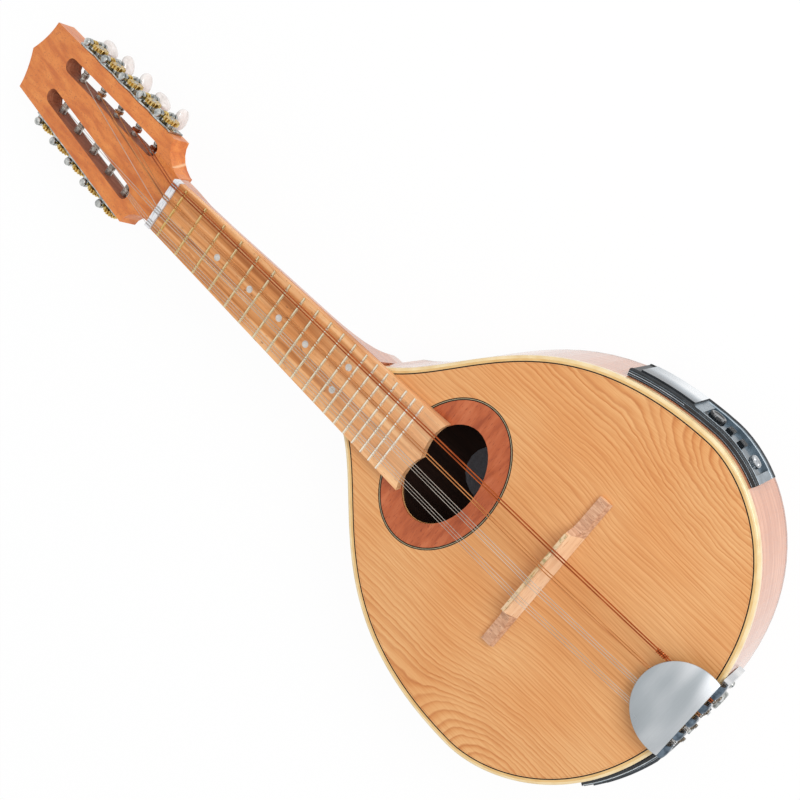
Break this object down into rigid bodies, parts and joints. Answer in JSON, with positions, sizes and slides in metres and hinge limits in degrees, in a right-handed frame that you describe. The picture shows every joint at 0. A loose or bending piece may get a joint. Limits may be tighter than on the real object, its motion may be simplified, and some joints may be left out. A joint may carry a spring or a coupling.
{
  "type": "acoustic-electric mandolin",
  "caption": "Pear-shaped flat-top mandolin with an oval soundhole, slotted head, floating bridge, tailpiece and side controls, set up for left-handed play.",
  "frame": {"origin": "on the back's outer face, on the centre line, under the saddle line", "axes": "+Y towards the head, +Z from the back to the soundboard, +X to the side with the preamplifier"},
  "size_m": [0.2708, 0.6668, 0.087],
  "materials": {
    "honey_softwood": "clear satin lacquer over straight grain",
    "red_side_wood": "gloss lacquer over reddish figured wood",
    "orange_neck_wood": "satin lacquer over orange-brown wood",
    "streaked_fretboard_wood": "oiled, with darker streaks",
    "mahogany_rosette": "clear gloss over red-brown wood",
    "inner_softwood": "bare",
    "light_bridge_wood": "bare, with darker end faces",
    "cream_binding": "gloss",
    "black_line": "satin",
    "white_bone": "satin",
    "polished_nickel": "polished nickel plate",
    "roller_nickel": "satin nickel plate",
    "pearl_button": "pearly gloss",
    "black_plastic": "satin moulded plastic",
    "dark_control": "satin",
    "grey_control": "dark metallic",
    "wound_bronze": "wound wire",
    "plain_steel": "drawn wire",
    "grey_paper": "paper",
    "bare_brass": "turned"
  },
  "bodies": {
    "mandolin": {"soundboard": "honey_softwood", "back": "red_side_wood", "rim": "red_side_wood", "binding": "cream_binding", "purfling": "black_line", "rosette": "mahogany_rosette", "label": "grey_paper", "neck_block": "inner_softwood", "tail_block": "inner_softwood", "top_linings_and_braces": "inner_softwood", "back_linings_and_braces": "inner_softwood", "pickup": "bare_brass", "neck": "orange_neck_wood", "headstock": "orange_neck_wood", "fretboard": "streaked_fretboard_wood", "nut": "white_bone", "bridge": "light_bridge_wood", "saddle": "white_bone", "tailpiece_cover": "polished_nickel", "tailpiece_plate": "polished_nickel", "tuner_plate_bass": "polished_nickel", "tuner_plate_treble": "polished_nickel", "preamp_housing": "black_plastic", "battery_box": "black_plastic", "output_jack": "polished_nickel", "string_1": "wound_bronze", "string_2": "wound_bronze", "string_3": "wound_bronze", "string_4": "wound_bronze", "string_5": "plain_steel", "string_6": "plain_steel", "string_7": "plain_steel", "string_8": "plain_steel", "string_9": "plain_steel", "string_10": "plain_steel"},
    "roller_bass_1": {"string_roller_bass_1": "roller_nickel"},
    "key_bass_1": {"tuning_key_bass_1": "pearl_button"},
    "roller_bass_2": {"string_roller_bass_2": "roller_nickel"},
    "key_bass_2": {"tuning_key_bass_2": "pearl_button"},
    "roller_bass_3": {"string_roller_bass_3": "roller_nickel"},
    "key_bass_3": {"tuning_key_bass_3": "pearl_button"},
    "roller_bass_4": {"string_roller_bass_4": "roller_nickel"},
    "key_bass_4": {"tuning_key_bass_4": "pearl_button"},
    "roller_bass_5": {"string_roller_bass_5": "roller_nickel"},
    "key_bass_5": {"tuning_key_bass_5": "pearl_button"},
    "roller_treble_1": {"string_roller_treble_1": "roller_nickel"},
    "key_treble_1": {"tuning_key_treble_1": "pearl_button"},
    "roller_treble_2": {"string_roller_treble_2": "roller_nickel"},
    "key_treble_2": {"tuning_key_treble_2": "pearl_button"},
    "roller_treble_3": {"string_roller_treble_3": "roller_nickel"},
    "key_treble_3": {"tuning_key_treble_3": "pearl_button"},
    "roller_treble_4": {"string_roller_treble_4": "roller_nickel"},
    "key_treble_4": {"tuning_key_treble_4": "pearl_button"},
    "roller_treble_5": {"string_roller_treble_5": "roller_nickel"},
    "key_treble_5": {"tuning_key_treble_5": "pearl_button"},
    "volume_knob_body": {"volume_knob": "dark_control"},
    "tone_knob_body": {"tone_knob": "grey_control"},
    "bass_slider_body": {"bass_slider": "dark_control"},
    "treble_slider_body": {"treble_slider": "dark_control"},
    "battery_door_body": {"battery_door": "black_plastic"}
  },
  "joints": [
    {"name": "roller_bass_1_turn", "type": "hinge", "parent": "mandolin", "child": "roller_bass_1", "pos_m": [0.03467, 0.39572, 0.04672], "axis": [0.9989, 0.0463, -0.0107], "continuous": true},
    {"name": "key_bass_1_turn", "type": "hinge", "parent": "mandolin", "child": "key_bass_1", "pos_m": [0.03919, 0.40354, 0.04492], "axis": [0, 0.225, 0.9744], "continuous": true},
    {"name": "roller_bass_2_turn", "type": "hinge", "parent": "mandolin", "child": "roller_bass_2", "pos_m": [0.03358, 0.4181, 0.04155], "axis": [0.9989, 0.0463, -0.0107], "continuous": true},
    {"name": "key_bass_2_turn", "type": "hinge", "parent": "mandolin", "child": "key_bass_2", "pos_m": [0.0381, 0.42592, 0.03975], "axis": [0, 0.225, 0.9744], "continuous": true},
    {"name": "roller_bass_3_turn", "type": "hinge", "parent": "mandolin", "child": "roller_bass_3", "pos_m": [0.03249, 0.44049, 0.03639], "axis": [0.9989, 0.0463, -0.0107], "continuous": true},
    {"name": "key_bass_3_turn", "type": "hinge", "parent": "mandolin", "child": "key_bass_3", "pos_m": [0.03701, 0.44831, 0.03458], "axis": [0, 0.225, 0.9744], "continuous": true},
    {"name": "roller_bass_4_turn", "type": "hinge", "parent": "mandolin", "child": "roller_bass_4", "pos_m": [0.03139, 0.46287, 0.03122], "axis": [0.9989, 0.0463, -0.0107], "continuous": true},
    {"name": "key_bass_4_turn", "type": "hinge", "parent": "mandolin", "child": "key_bass_4", "pos_m": [0.03592, 0.47069, 0.02941], "axis": [0, 0.225, 0.9744], "continuous": true},
    {"name": "roller_bass_5_turn", "type": "hinge", "parent": "mandolin", "child": "roller_bass_5", "pos_m": [0.0303, 0.48526, 0.02605], "axis": [0.9989, 0.0463, -0.0107], "continuous": true},
    {"name": "key_bass_5_turn", "type": "hinge", "parent": "mandolin", "child": "key_bass_5", "pos_m": [0.03483, 0.49308, 0.02425], "axis": [0, 0.225, 0.9744], "continuous": true},
    {"name": "roller_treble_1_turn", "type": "hinge", "parent": "mandolin", "child": "roller_treble_1", "pos_m": [-0.03467, 0.39572, 0.04672], "axis": [-0.9989, 0.0463, -0.0107], "continuous": true},
    {"name": "key_treble_1_turn", "type": "hinge", "parent": "mandolin", "child": "key_treble_1", "pos_m": [-0.03919, 0.40354, 0.04492], "axis": [0, 0.225, 0.9744], "continuous": true},
    {"name": "roller_treble_2_turn", "type": "hinge", "parent": "mandolin", "child": "roller_treble_2", "pos_m": [-0.03358, 0.4181, 0.04155], "axis": [-0.9989, 0.0463, -0.0107], "continuous": true},
    {"name": "key_treble_2_turn", "type": "hinge", "parent": "mandolin", "child": "key_treble_2", "pos_m": [-0.0381, 0.42592, 0.03975], "axis": [0, 0.225, 0.9744], "continuous": true},
    {"name": "roller_treble_3_turn", "type": "hinge", "parent": "mandolin", "child": "roller_treble_3", "pos_m": [-0.03249, 0.44049, 0.03639], "axis": [-0.9989, 0.0463, -0.0107], "continuous": true},
    {"name": "key_treble_3_turn", "type": "hinge", "parent": "mandolin", "child": "key_treble_3", "pos_m": [-0.03701, 0.44831, 0.03458], "axis": [0, 0.225, 0.9744], "continuous": true},
    {"name": "roller_treble_4_turn", "type": "hinge", "parent": "mandolin", "child": "roller_treble_4", "pos_m": [-0.03139, 0.46287, 0.03122], "axis": [-0.9989, 0.0463, -0.0107], "continuous": true},
    {"name": "key_treble_4_turn", "type": "hinge", "parent": "mandolin", "child": "key_treble_4", "pos_m": [-0.03592, 0.47069, 0.02941], "axis": [0, 0.225, 0.9744], "continuous": true},
    {"name": "roller_treble_5_turn", "type": "hinge", "parent": "mandolin", "child": "roller_treble_5", "pos_m": [-0.0303, 0.48526, 0.02605], "axis": [-0.9989, 0.0463, -0.0107], "continuous": true},
    {"name": "key_treble_5_turn", "type": "hinge", "parent": "mandolin", "child": "key_treble_5", "pos_m": [-0.03483, 0.49308, 0.02425], "axis": [0, 0.225, 0.9744], "continuous": true},
    {"name": "volume_turn", "type": "hinge", "parent": "mandolin", "child": "volume_knob_body", "pos_m": [0.1322, -0.0168, 0.042], "axis": [0.9996, 0.0271, 0], "range_deg": [-135, 135]},
    {"name": "tone_turn", "type": "hinge", "parent": "mandolin", "child": "tone_knob_body", "pos_m": [0.12762, -0.0492, 0.042], "axis": [0.9415, -0.337, 0], "range_deg": [-135, 135]},
    {"name": "bass_slider_travel", "type": "slide", "parent": "mandolin", "child": "bass_slider_body", "axis": [0, 0, 1], "range_m": [-0.007, 0.007]},
    {"name": "treble_slider_travel", "type": "slide", "parent": "mandolin", "child": "treble_slider_body", "axis": [0, 0, 1], "range_m": [-0.007, 0.007]},
    {"name": "battery_door_hinge", "type": "hinge", "parent": "mandolin", "child": "battery_door_body", "pos_m": [-0.06338, -0.11934, 0.0225], "axis": [0.9276, -0.3736, 0], "range_deg": [0, 100]}
  ],
  "couplings": [
    {"joint": "roller_bass_1_turn", "follows": "key_bass_1_turn", "ratio": -0.071429},
    {"joint": "roller_bass_2_turn", "follows": "key_bass_2_turn", "ratio": -0.071429},
    {"joint": "roller_bass_3_turn", "follows": "key_bass_3_turn", "ratio": -0.071429},
    {"joint": "roller_bass_4_turn", "follows": "key_bass_4_turn", "ratio": -0.071429},
    {"joint": "roller_bass_5_turn", "follows": "key_bass_5_turn", "ratio": -0.071429},
    {"joint": "roller_treble_1_turn", "follows": "key_treble_1_turn", "ratio": -0.071429},
    {"joint": "roller_treble_2_turn", "follows": "key_treble_2_turn", "ratio": -0.071429},
    {"joint": "roller_treble_3_turn", "follows": "key_treble_3_turn", "ratio": -0.071429},
    {"joint": "roller_treble_4_turn", "follows": "key_treble_4_turn", "ratio": -0.071429},
    {"joint": "roller_treble_5_turn", "follows": "key_treble_5_turn", "ratio": -0.071429}
  ]
}
